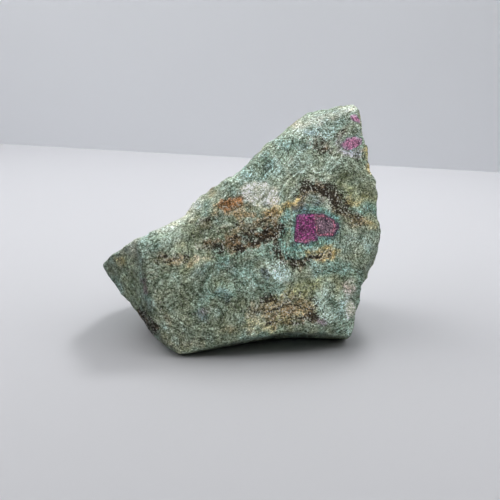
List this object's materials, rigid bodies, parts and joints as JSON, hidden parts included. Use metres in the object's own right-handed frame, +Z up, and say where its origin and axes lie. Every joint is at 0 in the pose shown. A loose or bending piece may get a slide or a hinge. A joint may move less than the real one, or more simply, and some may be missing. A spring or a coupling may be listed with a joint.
{
  "type": "ruby in fuchsite specimen",
  "caption": "Broken hand specimen of green fuchsite schist with magenta ruby crystals set level in its faces, resting on a flat underside.",
  "frame": {"origin": "on the resting plane, in the flat underside, below the thick middle of the stone", "axes": "+Z up from the resting plane, +X along the longest way towards the tall end, the broad face with the largest ruby looks towards -Y"},
  "size_m": [0.1054, 0.0617, 0.0832],
  "materials": {
    "fuchsite": "rough broken schist with glinting mica",
    "ruby": "broken crystal, waxy to dull"
  },
  "bodies": {
    "root": {"fuchsite_matrix": "fuchsite", "ruby_large": "ruby", "ruby_upper": "ruby", "ruby_tip": "ruby", "ruby_side": "ruby", "ruby_rear": "ruby", "ruby_rear_low": "ruby"}
  },
  "joints": []
}
